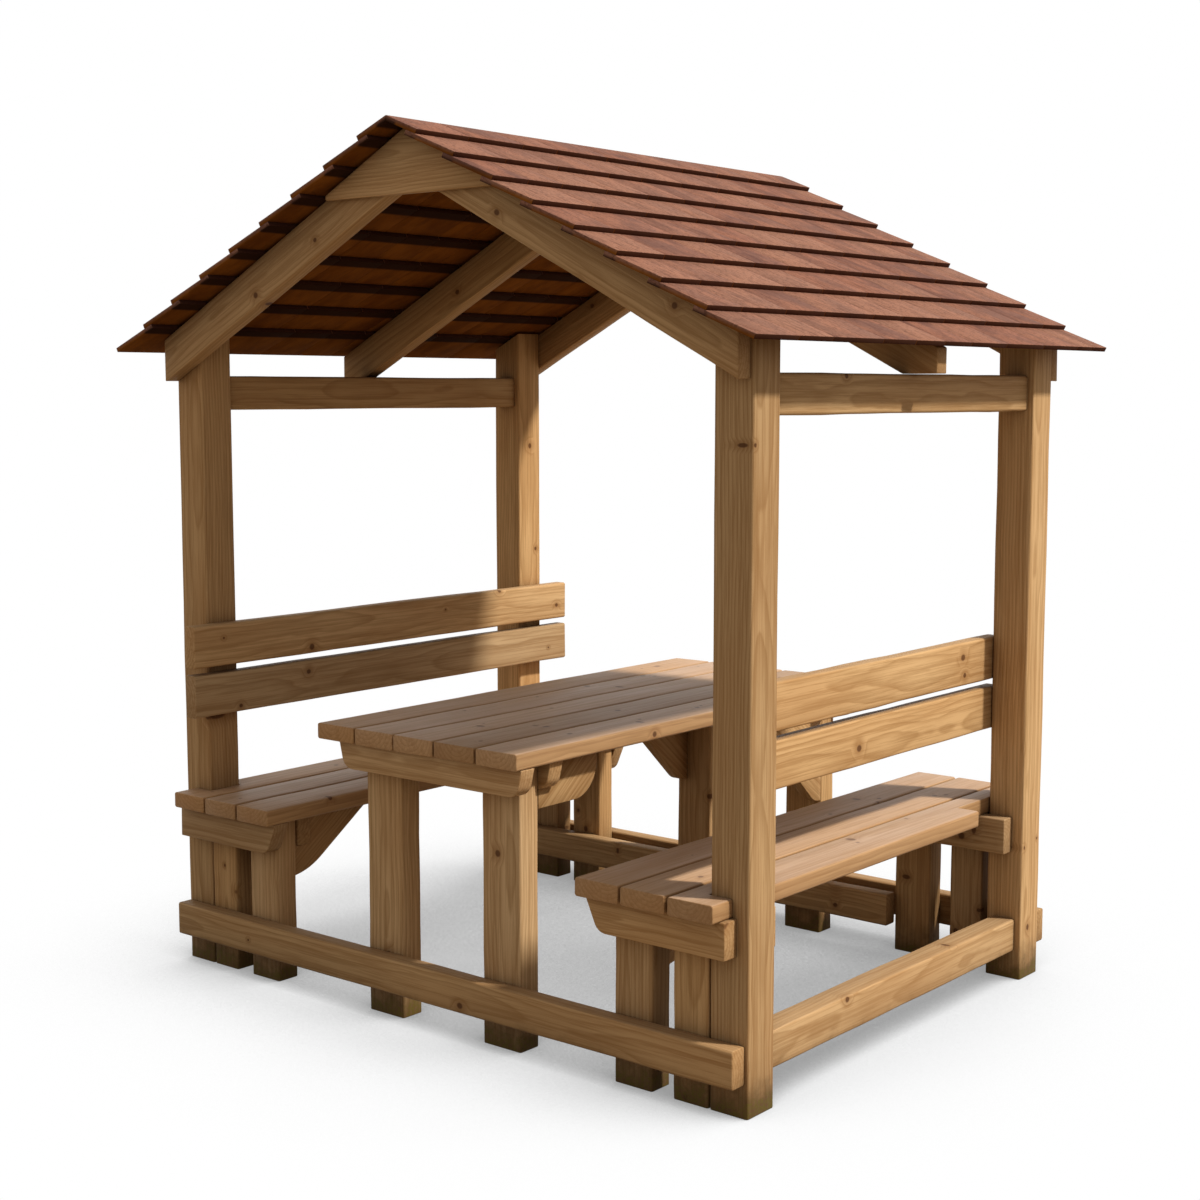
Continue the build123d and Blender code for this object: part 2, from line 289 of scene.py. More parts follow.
def softwood_group():
    inputs = {
        "Vector": (VECTOR, None),
        "Ring width": (FLOAT, usual_ring),
        "Knot size": (FLOAT, usual_knot),
        "Knot share": (FLOAT, usual_knot_share),
    }
    outputs = {"Rings": FLOAT, "Fibres": FLOAT, "Knots": FLOAT, "Knot halo": FLOAT}
    group, given, out = new_group("Softwood", inputs, outputs)
    vector = given.outputs["Vector"]
    across = vector_math(group, "MULTIPLY", vector, (0.0, 1.0, 1.0)).outputs["Vector"]
    radius = vector_math(group, "LENGTH", across).outputs["Value"]
    share = given.outputs["Knot share"]
    core, halo = knot_masks(group, vector, radius, share, given.outputs["Knot size"])
    rings = ring_mask(group, vector, radius, halo, given.outputs["Ring width"])
    fibres = fibre_mask(group, vector)
    for name, mask in (("Rings", rings), ("Fibres", fibres), ("Knots", core), ("Knot halo", halo)):
        group.links.new(mask, out.inputs[name])
    return group


softwood = softwood_group()
print("softwood group of", len(softwood.nodes), "nodes")


# %% [markdown]
# The lowest hand's breadth of the real posts and legs is dark with ground damp, and green specks of
# moss sit on it. It could be painted on each piece, but all of it depends on height alone, so one
# group reads the height over the ground and frays its edge with noise.

# %% Ground damp group
damp_height = 0.07
moss_height = 0.035
fray = 0.13
fray_waves = 18.0
moss_waves = 110.0
damp_edge = (0.15, 1.35)
moss_edge = (0.3, 1.4)
moss_specks = (0.42, 0.56)


def damp_group():
    inputs = {"Height": (FLOAT, damp_height), "Moss height": (FLOAT, moss_height)}
    group, given, out = new_group("Ground damp", inputs, {"Damp": FLOAT, "Moss": FLOAT})
    coordinates = group.nodes.new("ShaderNodeTexCoord").outputs["Object"]
    place = add_node(group, "ShaderNodeSeparateXYZ", None, Vector=coordinates)
    patches = noise(group, coordinates, (fray_waves,) * 3, 5.0, 0.65)
    ragged = math_node(group, "MULTIPLY_ADD", patches, fray, -fray / 2)
    level = math_node(group, "ADD", place.outputs["Z"], ragged)
    damp_ratio = math_node(group, "DIVIDE", level, given.outputs["Height"])
    moss_ratio = math_node(group, "DIVIDE", level, given.outputs["Moss height"])
    low = smooth_range(group, moss_ratio, *moss_edge, 1, 0)
    specks = noise(group, coordinates, (moss_waves,) * 3, 4.0, 0.7)
    moss = math_node(group, "MULTIPLY", smooth_range(group, specks, *moss_specks), low)
    damp = smooth_range(group, damp_ratio, *damp_edge, 1, 0)
    group.links.new(damp, out.inputs["Damp"])
    group.links.new(moss, out.inputs["Moss"])
    return group


ground_damp = damp_group()
print("ground damp group of", len(ground_damp.nodes), "nodes")


# %% [markdown]
# The timber is oiled a warm honey brown. Tops that see rain and sleeves are paler and greyer, and sawn
# ends are darker. Where timbers meet and a place is closed in, shade is painted into the colour.
# One material could hold every case with painted masks. Instead the masks come from the shape itself:
# the way a face looks, its board's own values, and how closed in a place is.

# %% Board facing group

def board_attribute(tree, name):
    return add_node(tree, "ShaderNodeAttribute", {"attribute_name": name})


def facing_group():
    """End grain is 1 on sawn ends. Upward is 1 on a top, 0 on a side and -1 on an underside."""
    inputs = {"Ends from": (FLOAT, 0.7), "Ends to": (FLOAT, 0.9)}
    group, given, out = new_group("Board facing", inputs, {"End grain": FLOAT, "Upward": FLOAT})
    axis = board_attribute(group, "grain_axis").outputs["Vector"]
    normal = add_node(group, "ShaderNodeNewGeometry").outputs["Normal"]
    along = vector_math(group, "DOT_PRODUCT", normal, axis).outputs["Value"]
    along = math_node(group, "ABSOLUTE", along)
    ends = smooth_range(group, along, given.outputs["Ends from"], given.outputs["Ends to"])
    upward = add_node(group, "ShaderNodeSeparateXYZ", None, Vector=normal).outputs["Z"]
    group.links.new(ends, out.inputs["End grain"])
    group.links.new(upward, out.inputs["Upward"])
    return group


board_facing = facing_group()
print("board facing group of", len(board_facing.nodes), "nodes")


# %% Tone of each board
# Each pair is a range's width and its lowest value, which a value from 0 to 1 is fitted to.
tone_range = (0.30, 0.83)
green_range = (0.09, 0.955)
blue_range = (0.26, 0.85)
hue_shuffle = 5.3


def board_tone(tree):
    """Makes some boards a little darker than others, and some yellower or redder."""
    tone = board_attribute(tree, "tone").outputs["Fac"]
    lifted = math_node(tree, "MULTIPLY_ADD", tone, *tone_range)
    hue = math_node(tree, "FRACT", math_node(tree, "MULTIPLY", tone, hue_shuffle))
    green = math_node(tree, "MULTIPLY", lifted, math_node(tree, "MULTIPLY_ADD", hue, *green_range))
    blue = math_node(tree, "MULTIPLY", lifted, math_node(tree, "MULTIPLY_ADD", hue, *blue_range))
    return add_node(tree, "ShaderNodeCombineColor", None, Red=lifted, Green=green, Blue=blue).outputs[0]


# %% An empty material

def new_material(name):
    material = bpy.data.materials.new(name)
    material.use_nodes = True
    tree = material.node_tree
    tree.nodes.clear()
    surface = tree.nodes.new("ShaderNodeBsdfPrincipled")
    output = tree.nodes.new("ShaderNodeOutputMaterial")
    tree.links.new(surface.outputs[0], output.inputs["Surface"])
    return material, tree, surface


# %% Timber colours
cloud_brown = (0.40, 0.19, 0.068, 1)
halo_brown = (0.28, 0.13, 0.045, 1)
knot_brown = (0.10, 0.04, 0.018, 1)
end_brown = (0.24, 0.12, 0.05, 1)
damp_brown = (0.108, 0.068, 0.028, 1)
moss_green = (0.180, 0.160, 0.028, 1)
# Painted shade: this brown darkens the colour in creases and closed-in places, where shade falls.
painted_shade_brown = (0.085, 0.042, 0.018, 1)

# How strongly each of them covers what lies below it.
oiled_rings = 0.70
oiled_streaks = 0.55
oiled_clouds = 0.32
oiled_halo = 0.42
oiled_knots = 0.85
worn_rings = 0.22
worn_streaks = 0.35
worn_knots = 0.55
end_share = 0.22
damp_share = 0.76
moss_share = 0.75
painted_shade_share = 0.70

cloud_waves = (1.6, 9.0, 9.0)
cloud_edge = (0.3, 0.7)
# Painted shade: how far nearby timber darkens the colour, and how that darkening fades out.
painted_shade_reach = 0.16
painted_shade_edge = (0.12, 0.92)


def oiled_color(tree, vector, wood, streaks, light, dark):
    """Fresh oiled wood: late wood, streaks, faint clouds and knots over the light colour."""
    color = tint(tree, light, wood.outputs["Rings"], oiled_rings, dark)
    color = tint(tree, color, streaks, oiled_streaks, dark)
    clouds = smooth_range(tree, noise(tree, vector, cloud_waves), *cloud_edge)
    color = tint(tree, color, clouds, oiled_clouds, cloud_brown)
    color = tint(tree, color, wood.outputs["Knot halo"], oiled_halo, halo_brown)
    return tint(tree, color, wood.outputs["Knots"], oiled_knots, knot_brown)


def weathered_color(tree, wood, streaks, weathered, dark):
    """The same wood where oil has worn off: the pattern shows less."""
    color = tint(tree, weathered, streaks, worn_streaks, dark)
    color = tint(tree, color, wood.outputs["Rings"], worn_rings, dark)
    return tint(tree, color, wood.outputs["Knots"], worn_knots, knot_brown)


def soiled_color_with_painted_shade(tree, color, ends):
    """Darker sawn ends, damp and moss near the ground, and painted shade where timbers meet and places are
    closed in.
    """
    color = tint(tree, color, ends, end_share, end_brown)
    ground = use_group(tree, ground_damp)
    color = tint(tree, color, ground.outputs["Damp"], damp_share, damp_brown)
    color = tint(tree, color, ground.outputs["Moss"], moss_share, moss_green)
    # Painted shade: the colour darkens wherever nearby timber closes a place in.
    closed_in = add_node(tree, "ShaderNodeAmbientOcclusion", {"samples": 3}, Distance=painted_shade_reach)
    painted_shade = smooth_range(tree, closed_in.outputs["AO"], *painted_shade_edge, painted_shade_share, 0.0)
    return mix_color(tree, painted_shade, color, painted_shade_brown)


# %% Timber surface
streak_edge = (0.44, 0.60)
uneven_waves = (5.0, 22.0, 22.0)
patch_waves = (3.0, 14.0, 14.0)
patch_edge = (0.25, 0.75)
least_patch = 0.55
top_edge = (0.6, 0.95)
relief_strength = 0.35
relief_height = 0.0012
sunk_rings = -0.5
sunk_knots = -0.8
plane_marks = 1.5
fibre_roughness = 0.18
oiled_roughness = 0.46
worn_polish = -0.08


def timber_relief(tree, vector, wood):
    """Raised fibres, sunk late wood and knots, and a slow unevenness from the plane."""
    uneven = noise(tree, vector, uneven_waves, 2.0)
    relief = math_node(tree, "MULTIPLY_ADD", wood.outputs["Rings"], sunk_rings, wood.outputs["Fibres"])
    relief = math_node(tree, "MULTIPLY_ADD", uneven, plane_marks, relief)
    relief = math_node(tree, "MULTIPLY_ADD", wood.outputs["Knots"], sunk_knots, relief)
    values = {"Height": relief, "Strength": relief_strength, "Distance": relief_height}
    return add_node(tree, "ShaderNodeBump", None, **values).outputs[0]


def worn_mask(tree, vector, upward, weathering):
    """Patchy wear on faces that look up."""
    top = smooth_range(tree, upward, *top_edge)
    patches = smooth_range(tree, noise(tree, vector, patch_waves, 4.0), *patch_edge, least_patch, 1.0)
    return math_node(tree, "MULTIPLY", math_node(tree, "MULTIPLY", top, patches), weathering)


def timber_material(name, colors, weathering, specular, grain):
    """Softwood that is oiled on its sides and weathered on its tops."""
    light, dark, weathered = colors
    material, tree, surface = new_material(name)
    facing = use_group(tree, board_facing)
    vector = board_attribute(tree, "board").outputs["Vector"]
    wood = use_group(tree, softwood, Vector=vector, **grain)
    streaks = smooth_range(tree, wood.outputs["Fibres"], *streak_edge)
    tone = board_tone(tree)
    oiled = oiled_color(tree, vector, wood, streaks, light, dark)
    oiled = mix_color(tree, 1.0, oiled, tone, "MULTIPLY")
    faded = weathered_color(tree, wood, streaks, weathered, dark)
    faded = mix_color(tree, 1.0, faded, tone, "MULTIPLY")

    worn = worn_mask(tree, vector, facing.outputs["Upward"], weathering)
    color = mix_color(tree, worn, oiled, faded)
    color = soiled_color_with_painted_shade(tree, color, facing.outputs["End grain"])
    rough = math_node(tree, "MULTIPLY_ADD", wood.outputs["Fibres"], fibre_roughness, oiled_roughness)
    rough = math_node(tree, "MULTIPLY_ADD", worn, worn_polish, rough)
    tree.links.new(color, surface.inputs["Base Color"])
    tree.links.new(rough, surface.inputs["Roughness"])
    surface.inputs["Specular IOR Level"].default_value = specular
    tree.links.new(timber_relief(tree, vector, wood), surface.inputs["Normal"])
    return material


# %% [markdown]
# Posts and rails are the warmest wood. The rafters look paler and have fewer knots, and the planks
# of seats and table are bleached on top. Three separate materials could drift apart, so the three
# share one recipe, each with its own colours, wear, gloss and growth.

# %% Timber materials
honey = (0.65, 0.435, 0.236, 1)
honey_dark = (0.33, 0.180, 0.072, 1)
pale_honey = (0.62, 0.404, 0.210, 1)
pale_honey_dark = (0.32, 0.178, 0.074, 1)
plank_honey = (0.54, 0.325, 0.16, 1)
plank_dark = (0.33, 0.175, 0.075, 1)
grey_brown = (0.36, 0.245, 0.150, 1)
bleached = (0.59, 0.411, 0.295, 1)

frame_timber = timber_material(
    "Frame timber",
    colors=(honey, honey_dark, grey_brown),
    weathering=0.55,
    specular=0.05,
    grain={"Ring_width": 0.0095, "Knot_size": 0.009, "Knot_share": 0.34},
)
pale_timber = timber_material(
    "Pale timber",
    colors=(pale_honey, pale_honey_dark, grey_brown),
    weathering=0.4,
    specular=0.05,
    grain={"Ring_width": 0.0085, "Knot_size": 0.008, "Knot_share": 0.26},
)
worn_planks = timber_material(
    "Worn planks",
    colors=(plank_honey, plank_dark, bleached),
    weathering=0.84,
    specular=0.18,
    grain={"Ring_width": 0.0105, "Knot_size": 0.009, "Knot_share": 0.34},
)
print("timber materials of", len(frame_timber.node_tree.nodes), "nodes each")


# %% [markdown]
# The roof boards have a grainy reddish brown stain on top. Underneath, the stain is thin and the wood
# glows amber between the rafters, with a painted shade line where each course laps the next. Two materials
# could be given face by face, but one material that asks which way a face looks needs no selecting
# and also keeps the sawn ends dark, both as end grain and as painted shade at the laps.

# %% Roof board material
# Painted shade: a dark line on the underside where each course laps the next.
lap_shade_width = 0.030
lap_shade_blur = 0.012
lap_shade_dark = (0.022, 0.009, 0.006, 1)
# Sawn ends are dark end grain, and are darkened further as painted shade where the courses lap.
sawn_dark_and_lap_shade = (0.045, 0.016, 0.011, 1)
stain_red = (0.285, 0.124, 0.081, 1)
stain_brown = (0.155, 0.074, 0.058, 1)
stain_bright = (0.355, 0.180, 0.119, 1)
stain_streak = (0.095, 0.036, 0.026, 1)
stain_grit = (0.080, 0.032, 0.024, 1)
amber_light = (0.26, 0.092, 0.014, 1)
amber_deep = (0.15, 0.047, 0.007, 1)
amber_streak = (0.12, 0.045, 0.015, 1)

streak_waves = (9.0, 120.0, 120.0)
grit_waves = (110.0, 170.0, 170.0)
stain_waves = (7.0, 13.0, 13.0)
stain_edge = (0.36, 0.64)
bright_share = 0.65
dark_streaks = (0.48, 0.66, 0, 0.55)
dark_grit = (0.50, 0.64, 0, 0.60)
amber_edge = (0.3, 0.7)
amber_streaks = (0.45, 0.75, 0, 0.5)
lap_shade_share = 0.94
sawn_and_lap_shade_share = 0.92
below_edge = (-0.2, 0.2)
stain_gloss = 0.05
stain_roughness = 0.72
more_below = 0.2
grit_height = 0.6
stain_relief = {"Strength": 0.45, "Distance": 0.0015}


def stained_top(tree, cloud, streak, grit):
    """Uneven red stain: cloudy, lighter on some boards, with dark streaks and grit."""
    red = mix_color(tree, smooth_range(tree, cloud, *stain_edge), stain_red, stain_brown)
    tone = board_attribute(tree, "tone").outputs["Fac"]
    red = tint(tree, red, tone, bright_share, stain_bright)
    red = mix_color(tree, smooth_range(tree, streak, *dark_streaks), red, stain_streak)
    return mix_color(tree, smooth_range(tree, grit, *dark_grit), red, stain_grit)


def amber_with_lap_shade(tree, cloud, streak):
    """Bare amber wood with a painted shade line where each board laps under the next course."""
    amber = mix_color(tree, smooth_range(tree, cloud, *amber_edge), amber_light, amber_deep)
    amber = mix_color(tree, smooth_range(tree, streak, *amber_streaks), amber, amber_streak)
    from_end = board_attribute(tree, "from_end").outputs["Fac"]
    # Painted shade: a dark strip at the upper end of each board's underside, where the course above laps it.
    lap_shade = smooth_range(tree, from_end, lap_shade_width, lap_shade_width + lap_shade_blur, lap_shade_share, 0.0)
    return mix_color(tree, lap_shade, amber, lap_shade_dark)


def roof_board_material():
    material, tree, surface = new_material("Stained boards")
    vector = board_attribute(tree, "board").outputs["Vector"]
    streak = noise(tree, vector, streak_waves, 4.0, 0.65)
    grit = noise(tree, vector, grit_waves, 3.0, 0.7)
    cloud = noise(tree, vector, stain_waves, 4.0, 0.6)
    facing = use_group(tree, board_facing)
    below = smooth_range(tree, facing.outputs["Upward"], *below_edge, 1, 0)
    color = mix_color(tree, below, stained_top(tree, cloud, streak, grit), amber_with_lap_shade(tree, cloud, streak))
    # Sawn ends: dark end grain, darkened further as painted shade in the laps.
    color = tint(tree, color, facing.outputs["End grain"], sawn_and_lap_shade_share, sawn_dark_and_lap_shade)
    tree.links.new(color, surface.inputs["Base Color"])
    rough = math_node(tree, "MULTIPLY_ADD", below, more_below, stain_roughness)
    tree.links.new(rough, surface.inputs["Roughness"])
    surface.inputs["Specular IOR Level"].default_value = stain_gloss
    relief = math_node(tree, "MULTIPLY_ADD", grit, grit_height, streak)
    bump = add_node(tree, "ShaderNodeBump", None, Height=relief, **stain_relief)
    tree.links.new(bump.outputs[0], surface.inputs["Normal"])
    return material


stained_boards = roof_board_material()
print("roof board material of", len(stained_boards.node_tree.nodes), "nodes")


# %% [markdown]
# Each timber starts as a copy of its CAD node, so sizes and joints are already right. The copy's mesh
# is loose triangles. Merging them and dissolving the lines across flat faces leaves whole faces
# with real edges, which a bevel can round and a cut can divide evenly.

# %% Copy of a CAD piece
merge_distance = 0.00001
flat_enough = radians(0.5)


def deselect_all():
    bpy.ops.object.select_all(action="DESELECT")


def pick(piece):
    """Makes one object the only one selected, and active."""
    deselect_all()
    piece.select_set(True)
    bpy.context.view_layer.objects.active = piece


def copy_of(node):
    """A copy of a CAD node's mesh, merged and free of the lines between flat triangles."""
    pick(nodes[node])
    bpy.ops.object.duplicate()
    piece = bpy.context.object
    for key in list(piece.keys()):
        del piece[key]
    bpy.ops.object.mode_set(mode="EDIT")
    bpy.ops.mesh.select_all(action="SELECT")
    bpy.ops.mesh.remove_doubles(threshold=merge_distance)
    bpy.ops.mesh.dissolve_limited(angle_limit=flat_enough)
    bpy.ops.object.mode_set(mode="OBJECT")
    return piece


# %% [markdown]
# Planed softwood has edges rounded by a few millimetres, and they catch the light. The edges could be
# rounded in the material with a bevel node, but that leaves a hard outline. A bevel modifier on
# every sharp edge gives real roundness, and smooth shading by angle keeps the faces flat.

# %% Soft edges
edge_softening = 0.0026
shingle_softening = 0.0012
sharp_edge = radians(25)
smooth_shading = radians(40)


def soften(piece, width):
    pick(piece)
    bevel = piece.modifiers.new("Bevel", "BEVEL")
    bevel.width = width
    bevel.segments = 2
    bevel.limit_method = "ANGLE"
    bevel.angle_limit = sharp_edge
    bpy.ops.object.modifier_apply(modifier=bevel.name)
    bpy.ops.object.shade_smooth_by_angle(angle=smooth_shading)


# %% [markdown]
# No real timber is dead straight: its faces swell and dip by a millimetre or two, so that light runs
# unevenly along it. Long faces are cut across in edit mode, and a displace modifier with a cloud
# texture moves the cuts. Moving points by hand would do too, but the modifier treats all timbers
# alike and gives the same clouds each time. The feet are left out, so they stay on the ground.

# %% Ripple
ripple_height = 0.0034
ripple_length = 0.17
long_edge = 0.25
cuts_along = 11
ground_line = 0.01

clouds = bpy.data.textures.new("Ripple", "CLOUDS")
clouds.noise_scale = ripple_length
clouds.noise_depth = 1


def cut_long_faces(piece):
    """Cuts the long flat faces of straight timbers across, so that they can ripple."""
    pick(piece)
    bpy.ops.object.mode_set(mode="EDIT")
    bpy.ops.mesh.select_mode(type="EDGE")
    bpy.ops.mesh.select_all(action="DESELECT")
    shape = bmesh.from_edit_mesh(piece.data)
    for edge in shape.edges:
        straight = all(len(face.verts) == 4 for face in edge.link_faces)
        edge.select_set(straight and edge.calc_length() > long_edge)
    bmesh.update_edit_mesh(piece.data)
    bpy.ops.mesh.subdivide(number_cuts=cuts_along)
    bpy.ops.object.mode_set(mode="OBJECT")


def ripple(piece):
    """Lets faces and edges swell and dip, but leaves the feet flat on the ground."""
    pick(piece)
    free = piece.vertex_groups.new(name="Free to ripple")
    free.add([v.index for v in piece.data.vertices if v.co.z > ground_line], 1.0, "REPLACE")
    displace = piece.modifiers.new("Ripple", "DISPLACE")
    displace.texture = clouds
    displace.texture_coords = "LOCAL"
    displace.vertex_group = free.name
    displace.strength = ripple_height
    bpy.ops.object.modifier_apply(modifier=displace.name)
    bpy.ops.object.vertex_group_remove(all=True)


# %% [markdown]
# A node can hold several boards, and each was sawn from its own log. Unwrapping every board would give
# it a flat picture of wood. Writing a place inside a log on each vertex instead feeds the solid
# wood pattern, and the same step stores the board's tone and the way its grain runs.

# %% Boards in a mesh

def loose_parts(mesh):
    """Lists of vertex numbers, one list for each board in the mesh."""
    shape = bmesh.new()
    shape.from_mesh(mesh)
    seen = set()
    parts = []
    for start in shape.verts:
        if start.index in seen:
            continue
        seen.add(start.index)
        reach = [start]
        part = []
        while reach:
            vertex = reach.pop()
            part.append(vertex.index)
            for edge in vertex.link_edges:
                other = edge.other_vert(vertex)
                if other.index not in seen:
                    seen.add(other.index)
                    reach.append(other)
        parts.append(part)
    shape.free()
    return parts


# %% Grain of each board
heart_beyond = (0.2, 1.2)
heart_aside = 0.25
log_length = 40


def place_in_log(low, high):
    """Where a board's heartwood lies: beyond one of its wide faces, a little off its middle."""
    width = [high[k] - low[k] for k in range(3)]
    heart = [
        random.uniform(0, log_length),
        (low[1] + high[1]) / 2 + random.uniform(-heart_aside, heart_aside) * width[1],
        low[2] - random.uniform(*heart_beyond) * width[2],
    ]
    if width[2] > width[1]:
        heart[1] = low[1] - random.uniform(*heart_beyond) * width[1]
        heart[2] = (low[2] + high[2]) / 2 + random.uniform(-heart_aside, heart_aside) * width[2]
    return heart


def lay_grain(mesh, along):
    """Gives each board its own place in a log, its tone and its grain, and counts the boards."""
    kinds = {"board": "FLOAT_VECTOR", "tone": "FLOAT", "grain_axis": "FLOAT_VECTOR", "from_end": "FLOAT"}
    for name, kind in kinds.items():
        mesh.attributes.new(name, kind, "POINT")
    board, tone, axis, from_end = (mesh.attributes[name] for name in kinds)
    parts = loose_parts(mesh)
    for part in parts:
        places = [mesh.vertices[i].co for i in part]
        direction = along(sum(places, Vector()) / len(places))
        side = Vector((0, 1, 0)) if abs(direction.y) < 0.5 else Vector((1, 0, 0))
        normal = direction.cross(side).normalized()
        rows = [(p.dot(direction), p.dot(side), p.dot(normal)) for p in places]
        low = [min(row[k] for row in rows) for k in range(3)]
        high = [max(row[k] for row in rows) for k in range(3)]
        heart = place_in_log(low, high)
        shade = random.random()
        for i, row in zip(part, rows):
            board.data[i].vector = (row[0] + heart[0], row[1] - heart[1], row[2] - heart[2])
            tone.data[i].value = shade
            axis.data[i].vector = direction
            from_end.data[i].value = row[0] - low[0]
    return len(parts)


# %% [markdown]
# Each kind of timber has its own way of lying: posts upright, bearers across, rails lengthwise,
# rafters down the slope and braces at a slant. The grain could be guessed from the longest side of
# a board's box, but that goes wrong on slanted ones, so every kind is told its direction. The
# roof's slope is measured on the frame, between the same edges of two courses.

# %% Grain directions

def measured_pitch():
    """The roof's slope, from the edges of an upper course to those of the lowest one."""
    upper_low, upper_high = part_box("roof_course_2")
    lowest_low, lowest_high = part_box("roof_course_9")
    return atan2(upper_low.z - lowest_low.z, lowest_high.x - upper_high.x)


roof_pitch = measured_pitch()
brace_rise = radians(38.3)
print("roof pitch", round(degrees(roof_pitch), 2), "degrees")


def grain_x(centre):
    return Vector((1, 0, 0))


def grain_y(centre):
    return Vector((0, 1, 0))


def grain_z(centre):
    return Vector((0, 0, 1))


def grain_slope(centre):
    """Down the roof slope, away from the ridge."""
    side = 1 if centre.x > 0 else -1
    return Vector((side * cos(roof_pitch), 0, -sin(roof_pitch)))


def grain_brace(centre):
    """Along a brace that rises towards the middle of the frame."""
    side = 1 if centre.y < 0 else -1
    return Vector((0, side * cos(brace_rise), sin(brace_rise)))


# %% [markdown]
# All steps together dress one timber.

# %% A dressed timber

def put_in_place(piece, node, material):
    """Gives a piece its finish, hangs it under the root body and hides the CAD node it stands for."""
    piece.data.materials.clear()
    piece.data.materials.append(material)
    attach(piece, "root")
    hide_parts(node)


def dress(node, along, material):
    piece = copy_of(node)
    piece.name = f"{node}_timber"
    cut_long_faces(piece)
    soften(piece, edge_softening)
    ripple(piece)
    boards = lay_grain(piece.data, along)
    put_in_place(piece, node, material)
    return boards


# %% [markdown]
# Four posts stand on foot rails, the benches and the table stand on their own legs, and bearers,
# rails and braces tie them together. They are all the same planed and oiled wood, so one loop
# dresses them, sorted only by the way their grain runs.

# %% Posts, rails, legs, bearers and braces
upright = ["post_front_right", "post_front_left", "post_back_right", "post_back_left"]
upright += ["bench_legs_right", "bench_legs_left", "table_legs"]
crosswise = ["foot_rail_front", "foot_rail_back", "foot_rail_back_inner"]
crosswise += ["bench_bearers_right", "bench_bearers_left"]
crosswise += ["table_outer_bearers", "table_inner_bearers"]
lengthwise = ["top_rail_right", "top_rail_left", "foot_rail_side"]
lengthwise += ["backrest_right", "backrest_left"]
braces = ["table_corbels", "table_knees", "bench_knee_right", "bench_knee_left"]
for nodes_of_kind, along in (
    (upright, grain_z),
    (crosswise, grain_x),
    (lengthwise, grain_y),
    (braces, grain_brace),
):
    for node in nodes_of_kind:
        dress(node, along, frame_timber)
print("frame pieces", len(upright + crosswise + lengthwise + braces))


# %% [markdown]
# Three pairs of rafters carry the roof, and a gusset board ties the front and the back pair. They are
# a paler wood than the posts and hardly weathered under the roof, so they get a material of
# their own and the same dressing.

# %% Rafters and gussets
rafters = [f"rafter_{place}_{side}" for side in ("right", "left") for place in ("front", "middle", "back")]
gussets = ["gusset_front", "gusset_back"]
for nodes_of_kind, along in ((rafters, grain_slope), (gussets, grain_x)):
    for node in nodes_of_kind:
        dress(node, along, pale_timber)
print("rafters and gussets", len(rafters + gussets))


# %% [markdown]
# Seats and table top are thin planks that are sat on and rained on, so their tops are bleached and
# their edges stay brown. The planks keep their gaps from the CAD, and each gets its own tone.

# %% Seats and table top
for node in ("seat_right", "seat_left", "table_top"):
    print(node, "planks", dress(node, grain_y, worn_planks))


# %% [markdown]
# Every roof course is made of single boards of uneven width that butt tightly. In the CAD a course is
# one long solid. Boards could be modelled one by one, but cutting the course keeps its section
# and its lap over the next one: each board is a copy of the course, bisected at two joints and
# closed there.

# %% Joints of a roof course
shingle_width = (0.115, 0.205)
shingle_joint = 0.0012


def course_joints(start, end):
    """Where the joints of one course fall along the ridge."""
    places = [start]
    while end - places[-1] > shingle_width[1] + shingle_width[0]:
        places.append(places[-1] + random.uniform(*shingle_width))
    places.append((places[-1] + end) / 2)
    return places + [end]


def cut_off(place, **cleared):
    """Cuts the mesh in edit mode across the ridge and closes the cut."""
    bpy.ops.mesh.select_all(action="SELECT")
    bpy.ops.mesh.bisect(plane_co=(0, place, 0), plane_no=(0, 1, 0), use_fill=True, **cleared)


def shingle_between(course, start, end, low, high):
    """A copy of the course, kept only between two of its joints."""
    pick(course)
    bpy.ops.object.duplicate()
    bpy.ops.object.mode_set(mode="EDIT")
    if start > low:
        cut_off(start + shingle_joint / 2, clear_inner=True)
    if end < high:
        cut_off(end - shingle_joint / 2, clear_outer=True)
    bpy.ops.object.mode_set(mode="OBJECT")
    return bpy.context.object


# %% Roof courses

def lay_course(node):
    """Splits a course at its joints, on both slopes at once where the node holds both."""
    course = copy_of(node)
    low = min(v.co.y for v in course.data.vertices)
    high = max(v.co.y for v in course.data.vertices)
    joints = course_joints(low, high)
    shingles = [shingle_between(course, *pair, low, high) for pair in zip(joints, joints[1:])]
    pick(course)
    bpy.ops.object.delete()
    for shingle in shingles:
        shingle.select_set(True)
    piece = shingles[0]
    bpy.context.view_layer.objects.active = piece
    bpy.ops.object.join()
    piece.name = f"{node}_shingles"
    soften(piece, shingle_softening)
    boards = lay_grain(piece.data, grain_slope)
    put_in_place(piece, node, stained_boards)
    return boards


courses = [f"roof_ridge_course_{side}" for side in ("right", "left")]
courses += [f"roof_course_{number}" for number in range(2, 10)]
print("roof boards", sum(lay_course(node) for node in courses))


# %% [markdown]
# The photograph's ground is plain white with a soft shade under the frame. A lit white floor would
# throw too much light up into the roof, and a sunlit one would show a hard shadow. So the floor
# is a dull brown to the light that bounces off it, and white where it is seen or mirrored,
# darker where the frame closes it in. The shade leans a little towards the light.

# %% Seen by the camera or in a reflection

def seen_directly(tree):
    """1 for rays that show the background itself, 0 for rays that only carry its light."""
    path = tree.nodes.new("ShaderNodeLightPath")
    mirrored = math_node(tree, "MAXIMUM", path.outputs["Is Glossy Ray"], path.outputs["Is Transmission Ray"])
    return math_node(tree, "MAXIMUM", path.outputs["Is Camera Ray"], mirrored)


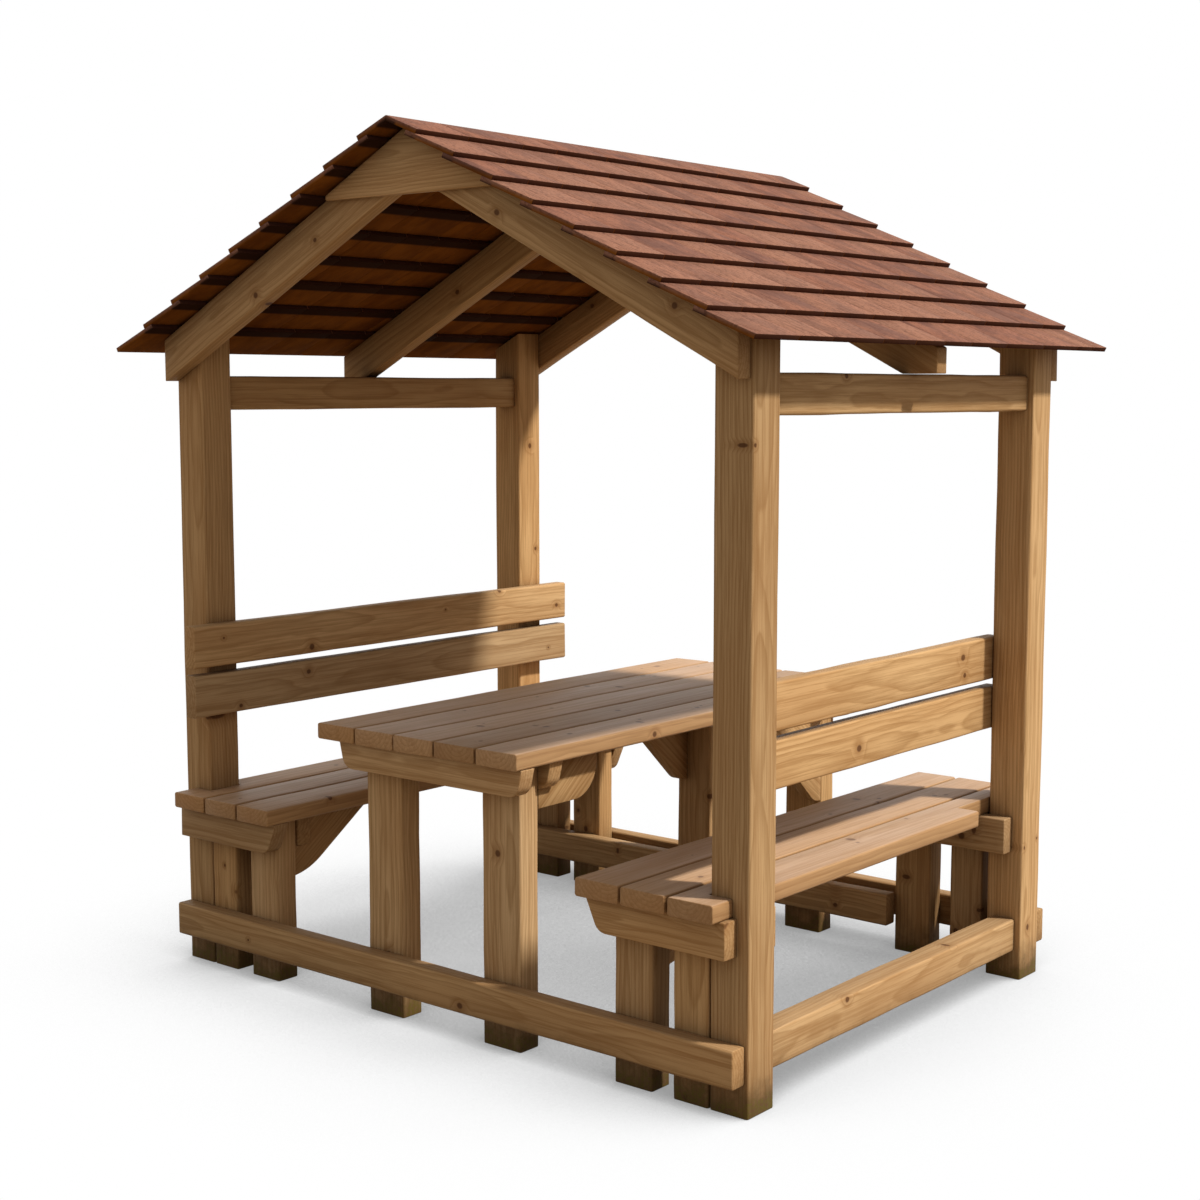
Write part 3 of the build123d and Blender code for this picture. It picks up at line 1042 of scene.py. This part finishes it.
def mix_shaders(tree, share, first, second, output_kind):
    mix = tree.nodes.new("ShaderNodeMixShader")
    tree.links.new(share, mix.inputs[0])
    tree.links.new(first, mix.inputs[1])
    tree.links.new(second, mix.inputs[2])
    output = next((n for n in tree.nodes if n.bl_idname == output_kind), None) or tree.nodes.new(output_kind)
    tree.links.new(mix.outputs[0], output.inputs["Surface"])


# %% Floor
floor_size = 60
floor_roughness = 0.9
floor_gloss = 0.1
white = (1, 1, 1, 1)
bounce_brown = (0.24, 0.185, 0.125, 1)
shade_reach = 1.0
shade_lean = {"X": 0.36, "Y": -0.10, "Z": 0.93}
shade_edge = (0.28, 0.88)
deepest_shade = 0.30


def floor_material():
    material, tree, surface = new_material("Pale floor")
    surface.inputs["Base Color"].default_value = bounce_brown
    surface.inputs["Roughness"].default_value = floor_roughness
    surface.inputs["Specular IOR Level"].default_value = floor_gloss
    lean = add_node(tree, "ShaderNodeCombineXYZ", None, **shade_lean).outputs[0]
    values = {"Distance": shade_reach, "Normal": lean}
    open_air = add_node(tree, "ShaderNodeAmbientOcclusion", {"samples": 7}, **values).outputs["AO"]
    shaded = smooth_range(tree, open_air, *shade_edge, deepest_shade, 1.0)
    seen = add_node(tree, "ShaderNodeEmission", None, Color=white, Strength=shaded)
    mix_shaders(tree, seen_directly(tree), surface.outputs[0], seen.outputs[0], "ShaderNodeOutputMaterial")
    return material


def add_floor():
    bpy.ops.mesh.primitive_plane_add(size=floor_size)
    floor = bpy.context.object
    floor.name = "floor"
    floor.data.materials.append(floor_material())
    print("floor", floor_size, "m wide")


add_floor()


# %% [markdown]
# The light in the photograph comes from the right, high and a little from behind, with soft edges to
# its shadows. One sun, spread by a few degrees, lights the right-hand faces, and a pale sky fills
# the rest. More lamps would only add shadows that the photograph does not have.

# %% Sun and sky
sun_height = radians(50)
sun_bearing = radians(24)
sun_strength = 3.9
sun_spread = radians(4)
sun_color = (1.0, 0.95, 0.86)
sky_color = (1.0, 0.955, 0.90, 1)
sky_strength = 0.42


def add_sun():
    bpy.ops.object.light_add(type="SUN")
    sun = bpy.context.object
    sun.data.energy = sun_strength
    sun.data.angle = sun_spread
    sun.data.color = sun_color
    level = cos(sun_height)
    from_sun = Vector((-level * cos(sun_bearing), -level * sin(sun_bearing), -sin(sun_height)))
    sun.rotation_euler = from_sun.to_track_quat("-Z", "Y").to_euler()


def add_sky():
    world = bpy.data.worlds.new("Studio")
    world.use_nodes = True
    bpy.context.scene.world = world
    tree = world.node_tree
    tree.nodes.clear()
    seen = add_node(tree, "ShaderNodeBackground", None, Color=white, Strength=1.0)
    lighting = add_node(tree, "ShaderNodeBackground", None, Color=sky_color, Strength=sky_strength)
    mix_shaders(tree, seen_directly(tree), lighting.outputs[0], seen.outputs[0], "ShaderNodeOutputWorld")


add_sun()
add_sky()
bpy.context.scene.view_settings.view_transform = "Standard"
print("sun", sun_strength, "sky", sky_strength)
